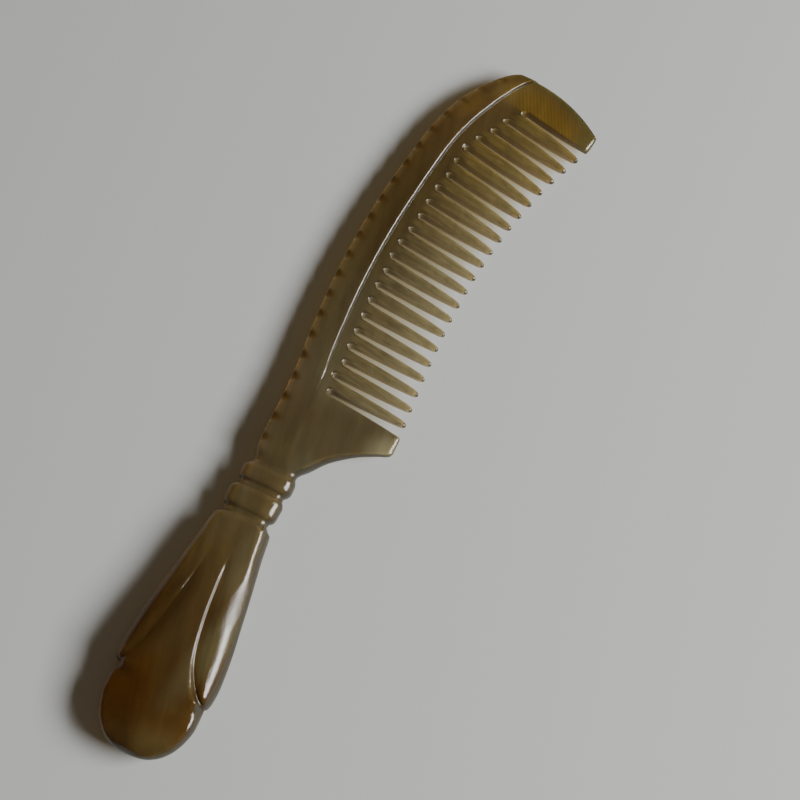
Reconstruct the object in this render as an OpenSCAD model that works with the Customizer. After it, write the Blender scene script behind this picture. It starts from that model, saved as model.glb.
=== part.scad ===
// Handled comb, sawn and carved in one piece out of a horn plate, lying flat.
// Both faces are carved alike. In the carving frame y runs up from the handle's end, x points
// towards the teeth, and z = 0 is the middle of the plate. The last module lays the comb down.

/* [Handle] */
// Widest place of the handle, across the two petals
handle_w = 25; // [22:0.2:27]
// Thickness of the round end
bulb_t = 9.6; // [8:0.2:11]
// Depth of the carved lines between round end, drop and petals
carve_d = 0.8; // [0.4:0.1:1]

/* [Neck] */
// Width of the two rings
ring_w = 13.4; // [12.6:0.2:14.6]
// Thickness of the two rings
ring_t = 7.4; // [6.6:0.2:8.2]
// How far the grooves beside the rings lie under them
groove_d = 1.1; // [0.6:0.1:1.5]

/* [Blade] */
// Thickness of the raised band along the back
band_t = 5.4; // [4.8:0.1:5.8]
// Thickness of the plate beside the band, where the teeth begin
plate_t = 4.1; // [3.4:0.1:4.4]
// Thickness of the teeth just behind their tips
tip_t = 1.5; // [1:0.1:1.7]

/* [Teeth] */
// Number of sawn slots, one more than there are teeth
slot_n = 22; // [20:1:22]
// Width of a slot at its round foot
foot_w = 1.6; // [1.3:0.1:1.9]
// Width of a tooth just behind its tip
tooth_w = 1.75; // [1.35:0.05:1.95]
// Length of the rounded tip of a tooth
tip_l = 1.6; // [1:0.2:2.6]
// How far the edges of the teeth are rounded off
lip = 0.3; // [0.15:0.05:0.4]

/* [Back edge] */
// Number of small gouged notches along the back edge, on each face
notch_n = 21; // [10:1:21]
// Radius of the gouge
notch_r = 1.3; // [0.8:0.1:1.6]
// Depth of a notch at the back edge, from the face
notch_d = 2; // [1.2:0.1:2.2]

/* [Hidden] */

// Handle down to the carved lines: y, left edge, right edge, half thickness as a share of the
// round end's, share of the carving depth taken off it, squareness of the section
body_rows = [
    [10.5, -9.6, 9.6, 0.84, 1, 2],
    [13.5, -11.1, 11.1, 0.95, 1, 2.1],
    [16, -11.4, 11.4, 0.98, 1, 2.2],
    [20, -11.7, 11.7, 0.97, 1, 2.3],
    [30, -11.6, 11.1, 0.94, 1, 2.3],
    [40, -10, 9.4, 0.9, 1, 2.4],
    [47, -8.9, 8.2, 0.87, 0.9, 2.5],
    [53, -8.1, 7.4, 0.84, 0.2, 2.7],
    [58, -7.5, 6.8, 0.81, 0, 2.8],
    [59.5, -6.9, 6.2, 0.75, 0, 2.8]
];
// Round end and central drop: y, left edge, right edge, half thickness share, squareness
drop_rows = [
    [0, -1.6, 1.6, 0.12, 2],
    [0.5, -4, 4, 0.34, 2],
    [1.5, -6.1, 6.1, 0.55, 2],
    [3.2, -8.1, 8.1, 0.74, 2],
    [5.5, -9.8, 9.8, 0.89, 2],
    [8.5, -11, 11, 0.98, 2],
    [11.5, -11.6, 11.5, 1, 2],
    [13, -11.5, 11.1, 1, 2.6],
    [14.5, -11.1, 9.6, 1, 3.4],
    [17, -10.3, 7.9, 0.99, 3.6],
    [20, -9.3, 6.6, 0.98, 3.6],
    [24, -8.1, 5.3, 0.96, 3.6],
    [30, -6.8, 3.9, 0.93, 3.6],
    [36, -5.7, 2.8, 0.91, 3.6],
    [42, -4.8, 2.1, 0.88, 3.6],
    [48, -4, 1.6, 0.85, 3.6],
    [53, -3.4, 1.2, 0.78, 3.6]
];
// Petal on the side of the teeth: y, inner edge, outer edge, half thickness share
front_petal_rows = [
    [16.1, 11.1, 11.6, 0.3],
    [16.8, 9.9, 12, 0.78],
    [18.5, 8.3, 12.3, 0.92],
    [21, 6.7, 12.5, 0.96],
    [25, 5, 12.2, 0.965],
    [30, 3.6, 11.6, 0.95],
    [36, 2.4, 10.6, 0.92],
    [42, 1.5, 9.6, 0.89],
    [48, 0.9, 8.5, 0.86],
    [54, 0.4, 7.2, 0.79]
];
// Petal on the side of the back, the same, which ends a little higher up
back_petal_rows = [
    [17.9, 11.1, 11.6, 0.3],
    [18.6, 10.1, 12, 0.78],
    [20.2, 9.2, 12.3, 0.92],
    [22.5, 8.3, 12.5, 0.96],
    [26, 7.2, 12.3, 0.965],
    [30, 6.2, 12, 0.95],
    [36, 5.1, 11, 0.92],
    [42, 4.1, 10.1, 0.89],
    [48, 3.4, 9.2, 0.86],
    [54, 2.7, 7.9, 0.79]
];
// Neck: y, middle, and how far it lies under the rings in width and in thickness, as a share of
// the groove's depth
neck_rows = [
    [58.4, -0.4, 0.1, 0.1],
    [59.2, -0.4, 0.4, 0.2],
    [60, -0.4, 1, 0.7],
    [60.7, -0.3, 1, 0.7],
    [61.6, -0.3, 0.3, 0.2],
    [62.6, -0.3, 0, 0],
    [65.2, -0.2, 0, 0],
    [66.2, -0.1, 0.4, 0.2],
    [67, 0.1, 1, 0.8],
    [67.6, 0.1, 1, 0.8],
    [68.5, 0.1, 0.4, 0.2],
    [69.4, 0.2, 0.1, 0],
    [71.2, 0.2, 0.1, 0],
    [72.2, 0.4, 0.5, 0.3],
    [73, 0.6, 1, 0.8],
    [75.5, 0.7, 1.2, 1.1]
];
// Lines across the blade, fanned like the teeth: x and y of the back end, x and y of the front
// end, bulge, half thickness as a share of the band's at the back and of the tips' at the front,
// width of the band up to the middle of its step, height of the step as a share
blade_rows = [
    [-4.2, 72.6, 5.4, 72.6, 0, 1, 2.2, 7.5, 0],
    [-5.1, 74.4, 7.1, 74.4, 0, 1.18, 2.2, 7.5, 0],
    [-5.4, 76.6, 8.7, 76.8, 0, 1.2, 2, 7.5, 0],
    [-5.5, 80, 11.7, 80.4, 0, 1.17, 1.7, 7.5, 0],
    [-5.5, 83.5, 16.4, 83.9, 0, 1.13, 1.6, 7.5, 0],
    [-5.5, 87, 20.6, 85.9, 0, 1.08, 1.5, 7.5, 0],
    [-5.6, 90, 23.6, 87.2, 0, 1.06, 1.4, 7.5, 0],
    [-5.7, 92.5, 23.9, 89.5, 0, 1.05, 1.3, 7.5, 0],
    [-5.9, 96.2, 23.8, 92.8, 0, 1.04, 1.2, 7.4, 0.05],
    [-6.2, 100, 23.5, 96.7, 0, 1.03, 1, 7.3, 0.2],
    [-6.9, 107, 23, 103.6, 0, 1.02, 1, 7.3, 0.6],
    [-7.4, 114, 22.6, 110.4, 0, 1.01, 1, 7.3, 0.9],
    [-7.8, 122, 22.3, 118.2, 0, 1, 1, 7.3, 1],
    [-7.8, 131, 22.4, 126.7, 0, 1, 1, 7.3, 1],
    [-7.4, 140, 22.9, 134.9, 0, 1, 1, 7.3, 1],
    [-6.6, 149, 24, 143.1, 0, 1, 1, 7.3, 1],
    [-5.3, 158.4, 25.7, 151.7, 0, 1, 1, 7.1, 1],
    [-3.7, 167.6, 28, 160.4, 0, 0.985, 1, 6.9, 1],
    [-1.4, 175.3, 30.5, 168.5, 0, 0.945, 1, 6.8, 1],
    [1.7, 181.4, 32.6, 175.7, 0, 0.915, 1.2, 6.4, 1],
    [3.9, 184.4, 33.5, 178.9, 0.3, 0.9, 1.3, 5.8, 1],
    [6.1, 187, 34, 180.8, 0.8, 0.84, 1.2, 5, 1],
    [8.7, 189.2, 34.4, 182.3, 1.6, 0.68, 0.9, 3.6, 0.8],
    [11.4, 190.6, 34.5, 183.1, 2.2, 0.3, 0.5, 2.4, 0.2]
];
// Rounding of the back edge: distance from it as a share of the band's width, share of thickness
back_round = [[0, 0], [0.03, 0.5], [0.12, 0.82], [0.3, 1]];
// Rounding of the front edge: distance from it as a share of front_l, share of thickness
front_round = [[1, 1], [0.4, 0.84], [0.1, 0.5], [0, 0]];
front_l = 1.8;
// Width of the step down from the band to the plate
step_w = 1.4;

// Slots: number from the handle, x and y of the round foot, x and y of the mouth
slot_rows = [
    [1, 4.5, 95.3, 23.9, 93.9],
    [5, 3.9, 111.8, 22.8, 110.2],
    [9, 3.2, 128.8, 22.5, 126.5],
    [13, 4.5, 145.2, 23.7, 142.5],
    [17, 6.7, 162.2, 26.8, 157.9],
    [19, 8.8, 170.2, 29, 165.8],
    [20, 10.8, 173.6, 30.5, 169.7],
    [21, 13.2, 177.3, 32, 173.5],
    [22, 16.4, 181, 33.5, 177.3]
];
// How far the hand-sawn foot of each slot lies off the smooth line of the feet
foot_wander = [
    0.3, -0.4, 0.5, 0, -0.1, 0, -0.1, 0, 0.2, -0.3, -0.2,
    0.2, 0.4, 0.1, 0, 0.4, -0.2, -0.4, -0.1, 0.4, -0.3, 0
];
// Distance from tip to tip, and how much neighbouring slots overlap beyond the tips
pitch = 4.1;
overlap = 0.04;
// How far the saw cuts stand over both faces
over = 0.3;
// Share of its growth in width that a slot has reached half way to its mouth
mid_grow = 0.1;

// y of the first notch, distance from notch to notch along the edge, and length on the face
notch_y = 81;
notch_pitch = 5.55;
notch_l = 2.3;
notch_tip_r = 0.35;

// The comb touches the table under the thickest line of the round end and under the band
handle_touch = drop_rows[8];
blade_touch = blade_rows[20];
bulb_half = bulb_t / 2;
band_half = band_t / 2;
rest_tilt = asin(
    (handle_touch[3] * bulb_half - blade_touch[5] * band_half) / (blade_touch[1] - handle_touch[0])
);
rest_z = handle_touch[3] * bulb_half * cos(rest_tilt) + handle_touch[0] * sin(rest_tilt);
wide = handle_w / 25;

// Sum of a list of vectors
function sum(v, i = 0) = i == len(v) - 1 ? v[i] : v[i] + sum(v, i + 1);
// The row of a table whose column k is v, on straight lines between its rows
function row_at(t, v, k = 0, i = 0) =
    i >= len(t) - 2 || v <= t[i + 1][k]
        ? t[i] + (t[i + 1] - t[i]) * (v - t[i][k]) / (t[i + 1][k] - t[i][k])
        : row_at(t, v, k, i + 1);

// A closed skin over rings of equally many points, with a fan of faces at each end
module skin(rings) {
    n = len(rings[0]);
    m = len(rings);
    points = concat([for (r = rings, p = r) p], [sum(rings[0]) / n, sum(rings[m - 1]) / n]);
    sides = [
        for (j = [0 : m - 2], i = [0 : n - 1], half = [0, 1])
            let (a = j * n + i, b = j * n + (i + 1) % n)
                half == 0 ? [b, a, b + n] : [b + n, a, a + n]
    ];
    ends = [
        for (i = [0 : n - 1], last = [0, 1])
            let (a = last * (m - 1) * n + i, b = last * (m - 1) * n + (i + 1) % n)
                last == 0 ? [a, b, m * n] : [b, a, m * n + 1]
    ];
    polyhedron(points, concat(sides, ends), convexity = 6);
}

// An oval section at y between two edges, with half thickness t and its squareness on either side
function oval(y, x0, x1, t, sq0, sq1, n) = [
    for (i = [0 : n - 1])
        let (a = 360 * i / n, c = cos(a), s = sin(a), sq = c > 0 ? sq1 : sq0)
            [
                (x0 + x1) / 2 + (x1 - x0) / 2 * sign(c) * pow(abs(c), 2 / sq),
                y,
                -t * sign(s) * pow(abs(s), 2 / sq)
            ]
];

module body() {
    skin([
        for (r = body_rows)
            oval(r[0], r[1] * wide, r[2] * wide, r[3] * bulb_half - r[4] * carve_d, r[5], r[5], 20)
    ]);
}

module drop() {
    skin([for (r = drop_rows) oval(r[0], r[1] * wide, r[2] * wide, r[3] * bulb_half, r[4], r[4], 20)]);
}

module petal(rows) {
    skin([for (r = rows) oval(r[0], r[1] * wide, r[2] * wide, r[3] * bulb_half, 5, 2.3, 16)]);
}

module handle() {
    body();
    drop();
    petal(front_petal_rows);
    mirror([1, 0, 0]) petal(back_petal_rows);
}

module neck() {
    skin([
        for (r = neck_rows)
            let (w = ring_w / 2 - groove_d * r[2], t = ring_t / 2 - groove_d * r[3])
                oval(r[0], r[1] - w, r[1] + w, t, 3, 3, 20)
    ]);
}

// Section along a line of the blade: distances from the back end with the half thickness there
function heights(r) =
    let (
        long = norm([r[2] - r[0], r[3] - r[1]]),
        back = r[5] * band_half,
        foot = back - r[8] * (band_t - plate_t) / 2,
        front = r[6] * tip_t / 2
    )
        concat(
            [for (p = back_round) [p[0] * r[7], p[1] * back]],
            [[r[7] - step_w / 2, back], [r[7] + step_w / 2, foot]],
            [for (p = front_round) [long - p[0] * front_l, p[1] * front]]
        );

// The same section as a ring of points, first over the upper face and then back under it
function blade_ring(r) =
    let (
        h = heights(r),
        n = len(h),
        start = [r[0], r[1]],
        way = [r[2] - r[0], r[3] - r[1]],
        long = norm(way),
        side = [-way[1], way[0]] / long,
        spots = [
            for (p = h)
                let (f = p[0] / long)
                    start + way * f + side * r[4] * 4 * f * (1 - f)
        ]
    )
        concat(
            [for (i = [0 : n - 1]) [spots[i][0], spots[i][1], h[i][1]]],
            [for (i = [n - 2 : -1 : 1]) [spots[i][0], spots[i][1], -h[i][1]]]
        );

// Half of a slot's outline: distances from the foot along the slot, and from its middle line.
// The outline is moved by more into the teeth.
function slot_half(long, more) =
    let (
        foot = foot_w / 2,
        mouth = (pitch - tooth_w) / 2,
        round_w = tooth_w / 2 - more
    )
        concat(
            [for (a = [30 : 30 : 90]) [-(foot + more) * cos(a), (foot + more) * sin(a)]],
            [[(long - tip_l) / 2, foot + mid_grow * (mouth - foot) + more]],
            [
                for (a = [0, 35, 62, 90])
                    [
                        long - more - (tip_l - more) * (1 - sin(a)),
                        mouth + more + round_w * (1 - cos(a)) + overlap * sin(a)
                    ]
            ],
            [[long + tip_l, mouth + more + round_w + overlap]]
        );

// A ring round a slot that follows the plate's upper (up = 1) or lower (up = -1) face
function slot_ring(foot, mouth, section, more, up) =
    let (
        long = norm(mouth - foot),
        way = (mouth - foot) / long,
        side = [-way[1], way[0]],
        line_l = section[len(section) - 1][0],
        half = slot_half(long, more),
        n = len(half),
        spots = concat(
            [[-foot_w / 2 - more, 0]],
            half,
            [for (i = [n - 1 : -1 : 0]) [half[i][0], -half[i][1]]]
        )
    )
        [
            for (p = spots)
                let (
                    xy = foot + p[0] * way + p[1] * side,
                    t = max(row_at(section, line_l - long + p[0])[1], tip_t / 3)
                )
                    [xy[0], xy[1], up * (t - lip + more)]
        ];

module slot(i) {
    r = row_at(slot_rows, i);
    mouth = [r[3], r[4]];
    foot = [r[1] + foot_wander[i - 1], r[2]];
    section = heights(row_at(blade_rows, r[4], 3));
    skin([
        slot_ring(foot, mouth, section, lip + over, 1),
        slot_ring(foot, mouth, section, 0, 1),
        slot_ring(foot, mouth, section, 0, -1),
        slot_ring(foot, mouth, section, lip + over, -1)
    ]);
}

// The spot at a given length along the back edge, and the direction of the edge there
function on_back(s, i = 1) =
    let (
        p = [blade_rows[i - 1][0], blade_rows[i - 1][1]],
        q = [blade_rows[i][0], blade_rows[i][1]],
        l = norm(q - p)
    )
        s <= l || i == len(blade_rows) - 1
            ? [p + (q - p) * s / l, (q - p) / l]
            : on_back(s - l, i + 1);

// A gouge that runs up from the back edge to the upper face
module notch(i) {
    edge = on_back(notch_y - blade_rows[0][1] + i * notch_pitch);
    outer_z = band_half - notch_d + notch_r;
    translate([edge[0][0], edge[0][1], 0])
        rotate([0, 0, atan2(-edge[1][0], edge[1][1])])
            hull() {
                translate([notch_l, 0, band_half + notch_tip_r]) sphere(notch_tip_r, $fn = 6);
                translate([-notch_r / 2, 0, outer_z]) sphere(notch_r, $fn = 10);
                translate([-notch_r / 2, 0, band_half + notch_r]) sphere(notch_r, $fn = 10);
            }
}

module blade() {
    difference() {
        skin([for (r = blade_rows) blade_ring(r)]);
        for (i = [1 : slot_n]) slot(i);
        for (i = [0 : notch_n - 1]) {
            notch(i);
            mirror([0, 0, 1]) notch(i);
        }
    }
}

module comb() {
    left = -wide * max([for (r = back_petal_rows) r[2]]);
    right = max([for (r = blade_rows) r[2]]);
    top = max([for (p = blade_ring(blade_rows[len(blade_rows) - 1])) p[1]]);
    color("#4a3a1c")
        translate([-(left + right) / 2, -top * cos(rest_tilt) / 2, rest_z])
            rotate([-rest_tilt, 0, 0])
                union() {
                    handle();
                    neck();
                    blade();
                }
}

comb();
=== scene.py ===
"""A carved and polished horn comb, lying on a pale floor.

The fine comb is laid out here in millimetres in the carving frame, with y up from the handle's end,
x towards the teeth and z = 0 in the middle of the plate. Only its upper half is laid out. The last
steps mirror it, lay it down as the CAD part lies and scale it to metres.
"""

import math
from collections import namedtuple
from functools import partial, reduce

import bmesh
import bpy
import numpy as np
from mathutils import Matrix, Vector


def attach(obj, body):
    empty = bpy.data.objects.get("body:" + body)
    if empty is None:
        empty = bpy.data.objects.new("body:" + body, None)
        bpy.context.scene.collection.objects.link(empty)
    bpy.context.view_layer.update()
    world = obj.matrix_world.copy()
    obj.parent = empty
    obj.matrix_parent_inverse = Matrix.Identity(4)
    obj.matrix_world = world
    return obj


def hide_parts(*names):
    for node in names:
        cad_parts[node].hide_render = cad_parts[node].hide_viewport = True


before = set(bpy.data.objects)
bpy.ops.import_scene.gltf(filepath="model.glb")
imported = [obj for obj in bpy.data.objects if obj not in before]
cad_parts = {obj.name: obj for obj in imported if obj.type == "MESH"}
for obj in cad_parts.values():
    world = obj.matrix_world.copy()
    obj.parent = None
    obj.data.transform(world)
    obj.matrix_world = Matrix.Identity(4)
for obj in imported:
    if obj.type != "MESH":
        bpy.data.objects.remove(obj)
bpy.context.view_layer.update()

MM = 0.001

# Camera, floor and light
CAMERA_AT = Vector((67.24, -117.34, 450.0)) * MM
CAMERA_RIGHT = Vector((0.9033, 0.4289, 0.0))
CAMERA_BACK = Vector((0.1254, -0.2641, 0.9563))
CAMERA_LENS = 88.94
CAMERA_SENSOR = 36.0
FLOOR_HALF = 1.5
FLOOR_COLOUR = (0.66, 0.675, 0.67, 1)
FLOOR_ROUGHNESS = 0.75
ROOM_COLOUR = (0.96, 0.97, 0.95, 1)
ROOM_LIGHT, ROOM_MIRRORED = 0.05, 0.03
# The window: degrees from the side of the teeth and from straight up, distance, size, power, colour
WINDOW_AROUND, WINDOW_FROM_TOP = 11, 55.5
WINDOW_AWAY = 1.3
WINDOW_WIDE, WINDOW_HIGH = 0.8, 0.46
WINDOW_POWER = 25.6
WINDOW_COLOUR = (1.0, 0.99, 0.97)

# Sizes of the comb
LENGTH = 190.6
# Middle of the comb's box, the two places on which it lies, and the band's share of its half
# thickness at the upper one
CENTRE = (11.0, 95.31)
LOW_AT, HIGH_AT, BAND_SHARE = 14.5, 184.4, 0.9
# Half thicknesses, the rings' half width and the depth between them
BULB_HALF = 4.8
RING_HALF_W = 6.7
RING_HALF_T = 3.7
GROOVE = 1.1
BAND_HALF = 2.7
PLATE_HALF = 2.05
TIP_HALF = 0.72

# Round end and central drop: y, left edge, right edge, half thickness, distance of the shoulder
# from the left and from the right edge
BULB_ROWS = [
    (0, 0, 0, 0, 1.0, 1.0), (0.12, -2, 2, 1.0, 1.2, 1.2), (0.5, -4, 4, 1.95, 2.0, 2.0),
    (1.5, -6.2, 6.2, 2.95, 2.9, 2.9), (3.2, -8.2, 8.2, 3.65, 4.2, 3.6),
    (5.5, -9.8, 9.8, 4.15, 5.0, 3.7), (8.5, -11, 11, 4.55, 5.0, 3.3),
    (11.5, -11.6, 11.55, 4.75, 4.5, 2.8), (13.2, -11.6, 11.55, 4.8, 3.9, 2.3),
    (14.5, -11.6, 11.55, 4.8, 3.3, 2.1), (16.1, -11.55, 11.45, 4.8, 2.7, 1.8),
    (17.9, -11.5, 11.4, 4.78, 2.1, 1.7), (19.5, -11.5, 11.4, 4.75, 1.6, 1.45),
    (21, -11.5, 11.4, 4.72, 1.5, 1.15), (23, -11.5, 11.4, 4.66, 1.6, 0.9),
    (26, -11.5, 11.4, 4.58, 1.7, 0.72), (30, -11.5, 11.4, 4.48, 1.8, 0.56),
    (36, -11.5, 11.4, 4.37, 1.8, 0.5), (42, -11.5, 11.4, 4.24, 1.6, 0.46),
    (48, -11.5, 11.4, 4.1, 1.4, 0.45), (53, -11.5, 11.4, 3.95, 1.2, 0.45),
    (59, -11.5, 11.4, 3.82, 0.5, 0.5),
]
# Outer edge of the petals: y, x
RIGHT_EDGE = [
    (16.1, 11.45), (16.8, 12.0), (18.5, 12.38), (21, 12.5), (25, 12.22), (30, 11.62), (36, 10.6),
    (42, 9.6), (48, 8.5), (53, 7.6), (57, 7.05), (58.4, 6.75), (59.2, 6.1),
]
LEFT_EDGE = [
    (17.9, -11.5), (18.6, -12.0), (20.2, -12.35), (22.5, -12.5), (26, -12.32), (30, -11.95),
    (36, -11.05), (42, -10.1), (48, -9.15), (53, -8.3), (57, -7.75), (58.4, -7.45), (59.2, -6.8),
]
# Bottom of the carved lines between drop and petals: y, x, half thickness left there
RIGHT_GROOVE = [
    (16.1, 11.45, 0), (16.35, 11.1, 2.1), (17, 10.2, 3.0), (18, 9.1, 3.4), (21, 6.9, 3.7),
    (24, 5.3, 3.9), (28, 4.0, 3.98), (32, 3.15, 3.93), (36, 2.5, 3.85), (42, 1.8, 3.74),
    (47, 1.4, 3.7), (51, 1.1, 3.82), (54, 0.9, 3.93), (59.2, 0.6, 3.82),
]
LEFT_GROOVE = [
    (17.9, -11.5, 0), (18.15, -11.15, 2.5), (18.8, -10.5, 3.4), (19.6, -9.9, 3.8),
    (21, -9.0, 4.08), (24, -7.85, 4.17), (28, -6.9, 4.22), (32, -6.15, 4.16), (36, -5.5, 4.05),
    (42, -4.5, 3.98), (46, -4.0, 3.95), (50, -3.6, 3.97), (54, -3.2, 3.93), (59.2, -2.8, 3.82),
]
# The handle's sides: way across, the petal's edge, its carved line, the columns of BULB_ROWS with
# the outline and the shoulder, and the column of PETAL_RISE
Side = namedtuple("Side", "way edge groove outline shoulder rise")
SIDES = (Side(-1, LEFT_EDGE, LEFT_GROOVE, 1, 4, 1), Side(1, RIGHT_EDGE, RIGHT_GROOVE, 2, 5, 2))

# Half thickness along the crest of each petal: distance from the petal's lower end, half thickness
PETAL_CREST = [
    (0, 0), (0.3, 1.75), (0.8, 2.95), (1.5, 3.65), (2.6, 4.12), (5, 4.42), (9, 4.5), (14, 4.42),
    (20, 4.3), (26, 4.18), (32, 4.06), (37, 3.95), (43, 3.82),
]
# Width of the rise from a carved line to the petal's crest: y, on the left, on the right
PETAL_RISE = [
    (16, 1.0, 0.8), (20, 1.4, 1.2), (26, 2.6, 1.5), (34, 1.4, 1.6), (41, 0.75, 1.65),
    (59, 0.75, 1.7),
]
# The petals: place of the crest as a share of the width, slope and curve of the facet beyond it,
# width of the turn into it, of the round side, and of the soft edge between facet and side
PETAL_CREST_AT = 0.5
FACET_SLOPE, FACET_BEND, FACET_TURN = 0.5, 0.067, 0.35
PETAL_SIDE, PETAL_SIDE_SHARE = 6.0, 1.45
PETAL_SOFT = 0.25
# The drop: fall of its crown towards its edges, more at the round end up to y 22, and its flanks
CROWN, CROWN_MORE = 0.06, 0.34
CROWN_END, CROWN_LONG = 22, 14
FLANK_HOLLOW, FLANK_SOFT = 0.3, 0.12
SHOULDER_MOST = 0.95
# The round end: share of the height in its tight edge, widths of the edge and of the slope, and
# where that form gives way to the drop's flanks, before the petal's lower end
LENS_EDGE, LENS_ROUND, LENS_WIDE, LENS_CURVE = 0.58, 1.3, 10.5, 1.8
LENS_FADE, LENS_FADE_LONG = 3.2, 4.2
# The plain box above the petals: fall of its top, width of the round side, height of the side's
# curve over the top, softness of the edge, and where it begins
BOX_FALL, BOX_SIDE, BOX_OVER, BOX_SOFT = 0.02, 3.3, 1.05, 0.012
BOX_FROM, BOX_LONG = 42.5, 9
# Neck: y, middle, and how far it lies under the rings in width and in thickness, as a share of
# the groove's depth
NECK_ROWS = [
    (58.4, -0.4, 0.1, 0.1), (59.2, -0.4, 0.45, 0.3), (60, -0.4, 1, 0.75), (60.7, -0.3, 1, 0.75),
    (61.6, -0.3, 0.25, 0.2), (62.6, -0.3, 0, 0), (65.2, -0.2, 0, 0), (66.2, -0.1, 0.35, 0.2),
    (67, 0.1, 1, 0.8), (67.6, 0.1, 1, 0.8), (68.5, 0.1, 0.35, 0.2), (69.4, 0.2, 0.08, 0),
    (71.2, 0.2, 0.08, 0), (72.2, 0.4, 0.5, 0.3), (73, 0.6, 1, 0.8), (73.6, 0.65, 1.05, 0.9),
    (75.5, 0.9, 0.9, 0.8), (77.5, 1.2, 0.6, 0.6),
]
# Where the neck's outline takes over, and the places of the drop's edges in it as shares
NECK_FROM, NECK_LONG = 58.2, 1.0
NECK_DROP = (-0.38, 0.12)
# Where the rings' rounded section takes over, and how square it is
RING_FROM, RING_LONG, RING_SQUARE = 58.6, 1.2, 2.8
# Where the blade's rows begin, and how long the neck's form goes on in them
NECK_END, NECK_JOINT_LONG = 73.2, 3.3
# Lines across the blade, fanned like the teeth: x and y of the back end, x and y of the front
# end, bulge, share of the band's half thickness at the back and of the tips' at the front,
# width of the band up to the middle of its step, height of the step as a share
BLADE_ROWS = [
    (-4.2, 72.6, 5.4, 72.6, 0, 1, 3.2, 7.5, 0),
    (-5.1, 74.4, 7.1, 74.4, 0, 1.14, 3.5, 7.5, 0),
    (-5.5, 76.6, 8.7, 76.8, 0, 1.16, 3.3, 7.5, 0),
    (-5.7, 80, 11.7, 80.4, 0, 1.14, 2.7, 7.5, 0),
    (-5.7, 83.5, 16.4, 83.9, 0, 1.11, 2.1, 7.5, 0),
    (-5.7, 87, 20.6, 85.9, 0, 1.08, 1.75, 7.5, 0),
    (-5.75, 90, 23.6, 87.2, 0, 1.06, 1.55, 7.5, 0),
    (-5.8, 92.5, 23.9, 89.5, 0, 1.05, 1.3, 7.5, 0),
    (-5.95, 96.2, 23.8, 92.8, 0, 1.04, 1.2, 7.4, 0.1),
    (-6.2, 100, 23.5, 96.7, 0, 1.03, 1, 7.3, 0.38),
    (-6.9, 107, 23, 103.6, 0, 1.02, 1, 7.3, 0.86),
    (-7.4, 114, 22.6, 110.4, 0, 1.01, 1, 7.3, 1),
    (-7.8, 122, 22.3, 118.2, 0, 1, 1, 7.3, 1),
    (-7.8, 131, 22.4, 126.7, 0, 1, 1, 7.3, 1),
    (-7.4, 140, 22.9, 134.9, 0, 1, 1, 7.3, 1),
    (-6.6, 149, 24, 143.1, 0, 1, 1, 7.3, 1),
    (-5.3, 158.4, 25.7, 151.7, 0, 1, 1, 7.1, 1),
    (-3.7, 167.6, 28, 160.4, 0, 0.985, 1, 6.9, 1),
    (-1.4, 175.3, 30.5, 168.5, 0, 0.945, 1, 6.8, 1),
    (1.7, 181.4, 32.6, 175.7, 0, 0.915, 1.2, 6.4, 1),
    (3.9, 184.4, 33.5, 178.9, 0.3, 0.9, 1.3, 5.8, 1),
    (6.1, 187, 34, 180.8, 0.8, 0.88, 1.25, 5.2, 1),
    (8.7, 189.2, 34.4, 182.3, 1.6, 0.86, 1.2, 4.4, 1),
    (11.4, 190.6, 34.5, 183.1, 2.2, 0.85, 1.15, 3.8, 1),
]
LINE_TABLE = [(i,) + row for i, row in enumerate(BLADE_ROWS)]
LINE_LEAN = 0.14
TOP_LINE = len(BLADE_ROWS) - 1
# Widths of the roundings along the top edge and, near the neck, along the front, and how square
# the sections of the edges are
TOP_ROUND, FRONT_ROUND = 1.1, 1.8
TOP_SQUARE, BACK_SQUARE = 2.2, 2.1
# Lower guard: line numbers with the distance between rows there, where the columns fan out from the
# neck's spacing, where the rows turn towards the first slot, the most that lies before the collar
# line as a share, and the least gap between rows
GUARD_ROWS = ([2.2, 3], [0.3, 0.42])
FAN_FROM, FAN_LONG, TURN_FROM = 1.5, 5, 3
COLLAR_MOST, LEAST_GAP = 0.62, 0.03
# Upper guard: how the rows close up towards the top, and how soon they leave the last slot's line
TOP_CLOSING, TOP_LEAVING = 1.9, 1.1
# Slope down the step of the band, by the distance from its upper edge: a bright facet, then steeper
STEP_SLOPES = [(0, 0), (0.05, 0.47), (0.21, 0.53), (0.25, 1.08), (0.62, 1.12), (0.68, 0), (0.76, 0)]
STEP_BEFORE = 0.36
STEP_PLACES = np.array([0, 0.025, 0.05, 0.1, 0.155, 0.21, 0.23, 0.25, 0.43, 0.62, 0.65, 0.68, 0.76])
STEP_AFTER = STEP_PLACES[-1] - STEP_BEFORE

# Slots: number from the handle, x and y of the round foot, x and y of the mouth
SLOT_ROWS = [
    (1, 4.5, 95.3, 23.9, 93.9), (5, 3.9, 111.8, 22.8, 110.2), (9, 3.2, 128.8, 22.5, 126.5),
    (13, 4.5, 145.2, 23.7, 142.5), (17, 6.7, 162.2, 26.8, 157.9), (19, 8.8, 170.2, 29, 165.8),
    (20, 10.8, 173.6, 30.5, 169.7), (21, 13.2, 177.3, 32, 173.5), (22, 16.4, 181, 33.5, 177.3),
]
SLOT_N = 22
# How far the hand-sawn foot of each slot lies off the smooth line of the feet
FOOT_WANDER = [
    0.3, -0.4, 0.5, 0, -0.1, 0, -0.1, 0, 0.2, -0.3, -0.2,
    0.2, 0.4, 0.1, 0, 0.4, -0.2, -0.4, -0.1, 0.4, -0.3, 0,
]
PITCH = 4.1
# From the last slot's mouth to the mouth that a further slot would have
LAST_PITCH = (1.1, 3.95)
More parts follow.
